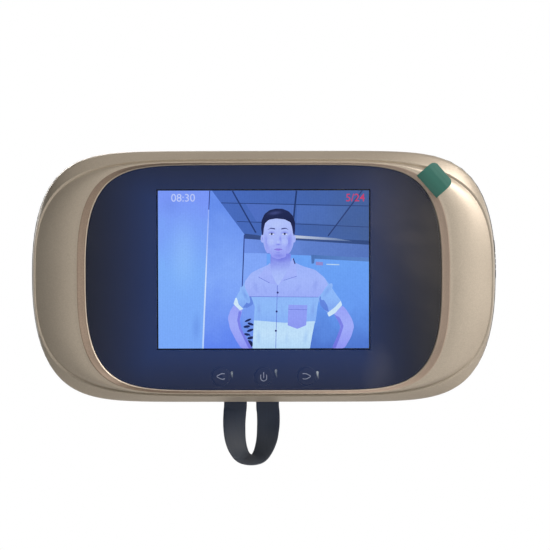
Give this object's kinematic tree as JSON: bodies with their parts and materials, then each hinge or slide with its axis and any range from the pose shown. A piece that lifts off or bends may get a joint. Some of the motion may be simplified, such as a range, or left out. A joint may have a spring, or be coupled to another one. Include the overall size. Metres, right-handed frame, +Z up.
{
  "type": "peephole door camera",
  "caption": "Door viewer: a wide indoor monitor with a dark window, keys and a hanging ribbon loop, clamped through a door to an outdoor camera with a bell button.",
  "frame": {"origin": "on the peephole axis, at the bracket's rear face, which lies on the door's indoor face", "axes": "+X to the viewer's right, +Z up, +Y through the door to the outside, so the monitor faces -Y"},
  "size_m": [0.1279, 0.0812, 0.0876],
  "materials": {
    "gold_paint": "satin champagne metallic paint",
    "black_plastic": "fine matte texture",
    "dark_window": "polished smoked acrylic",
    "key_plastic": "polished, dished",
    "clear_film": "thin clear film",
    "green_tab": "green printed film",
    "display_glass": "lit display",
    "white_plastic": "moulded",
    "flex": "polyimide film",
    "grey_plastic": "moulded",
    "board": "solder mask",
    "chip": "moulded",
    "steel": "zinc plated",
    "brass": "turned",
    "cell": "printed sleeve",
    "cone": "treated paper",
    "rubber": "soft foam",
    "ribbon": "flat flexible cable",
    "tongue": "stiffener",
    "lens": "coated lens",
    "lamp": "dark epoxy",
    "chrome": "polished ring"
  },
  "bodies": {
    "bracket": {"mounting_bracket": "steel"},
    "monitor": {"front_shell": "gold_paint", "window_panel": "dark_window", "protective_film": "clear_film", "film_pull_tab": "green_tab", "key_switches": "grey_plastic", "lcd_glass": "display_glass", "lcd_backlight": "white_plastic", "lcd_flex": "flex", "mid_frame": "grey_plastic", "main_board": "board", "board_chips": "chip", "speaker_frame": "black_plastic", "speaker_cone": "cone", "speaker_magnet": "steel", "card_socket": "steel", "ribbon_socket": "white_plastic", "power_switch": "steel", "battery_cells": "cell", "battery_springs": "steel", "battery_contacts": "steel", "rear_shell": "black_plastic", "case_screws": "steel", "ribbon_loop": "ribbon", "ribbon_tongue": "tongue"},
    "clamp": {"clamp_sleeve": "brass"},
    "outdoor_unit": {"barrel_tube": "brass", "barrel_ribbon": "ribbon", "door_gasket": "rubber", "outdoor_base": "black_plastic", "outdoor_shell": "gold_paint", "face_plate": "dark_window", "camera_board": "board", "outdoor_screws": "steel", "image_sensor": "chip", "lens_holder": "black_plastic", "lens_barrel": "black_plastic", "lens_glass": "lens", "infrared_lamps": "lamp", "bell_switch": "grey_plastic", "bell_ring": "chrome"},
    "left_key": {"left_key": "key_plastic", "left_plunger": "black_plastic"},
    "power_key": {"power_key": "key_plastic", "power_plunger": "black_plastic"},
    "right_key": {"right_key": "key_plastic", "right_plunger": "black_plastic"},
    "power_slider": {"power_slider": "black_plastic"},
    "left_cover": {"left_battery_cover": "black_plastic"},
    "right_cover": {"right_battery_cover": "black_plastic"},
    "card": {"memory_card": "black_plastic"},
    "latch": {"socket_latch": "black_plastic"},
    "bell": {"bell_button": "white_plastic", "bell_plunger": "black_plastic"}
  },
  "joints": [
    {"name": "monitor_lift", "type": "slide", "parent": "bracket", "child": "monitor", "axis": [0, 0, 1], "range_m": [0, 0.009], "deforming": ["ribbon_loop"]},
    {"name": "clamp_turn", "type": "hinge", "parent": "bracket", "child": "clamp", "pos_m": [0, 0, 0], "axis": [0, 1, 0], "range_deg": [-6120, 2880], "deforming": ["ribbon_loop"]},
    {"name": "outdoor_draw", "type": "slide", "parent": "bracket", "child": "outdoor_unit", "axis": [0, 1, 0], "range_m": [-0.0095, 0.019], "deforming": ["ribbon_loop"]},
    {"name": "left_key_press", "type": "slide", "parent": "monitor", "child": "left_key", "axis": [0, 1, 0], "range_m": [0, 0.0004], "stiffness_N_per_m": 2000, "springref_m": -0.0004},
    {"name": "power_key_press", "type": "slide", "parent": "monitor", "child": "power_key", "axis": [0, 1, 0], "range_m": [0, 0.0004], "stiffness_N_per_m": 2000, "springref_m": -0.0004},
    {"name": "right_key_press", "type": "slide", "parent": "monitor", "child": "right_key", "axis": [0, 1, 0], "range_m": [0, 0.0004], "stiffness_N_per_m": 2000, "springref_m": -0.0004},
    {"name": "power_slide", "type": "slide", "parent": "monitor", "child": "power_slider", "axis": [0, 0, 1], "range_m": [-0.002, 0]},
    {"name": "left_cover_off", "type": "slide", "parent": "monitor", "child": "left_cover", "axis": [0, 1, 0], "range_m": [0, 0.02]},
    {"name": "right_cover_off", "type": "slide", "parent": "monitor", "child": "right_cover", "axis": [0, 1, 0], "range_m": [0, 0.02]},
    {"name": "card_out", "type": "slide", "parent": "monitor", "child": "card", "axis": [0, 0, -1], "range_m": [0, 0.017]},
    {"name": "latch_flip", "type": "hinge", "parent": "monitor", "child": "latch", "pos_m": [-0.0078, -0.0073, -0.0085], "axis": [1, 0, 0], "range_deg": [0, 90]},
    {"name": "bell_press", "type": "slide", "parent": "outdoor_unit", "child": "bell", "axis": [0, -1, 0], "range_m": [0, 0.0008], "stiffness_N_per_m": 1500, "springref_m": -0.0008}
  ],
  "couplings": [
    {"joint": "outdoor_draw", "follows": "clamp_turn", "m_per_rad": -0.00015915}
  ]
}
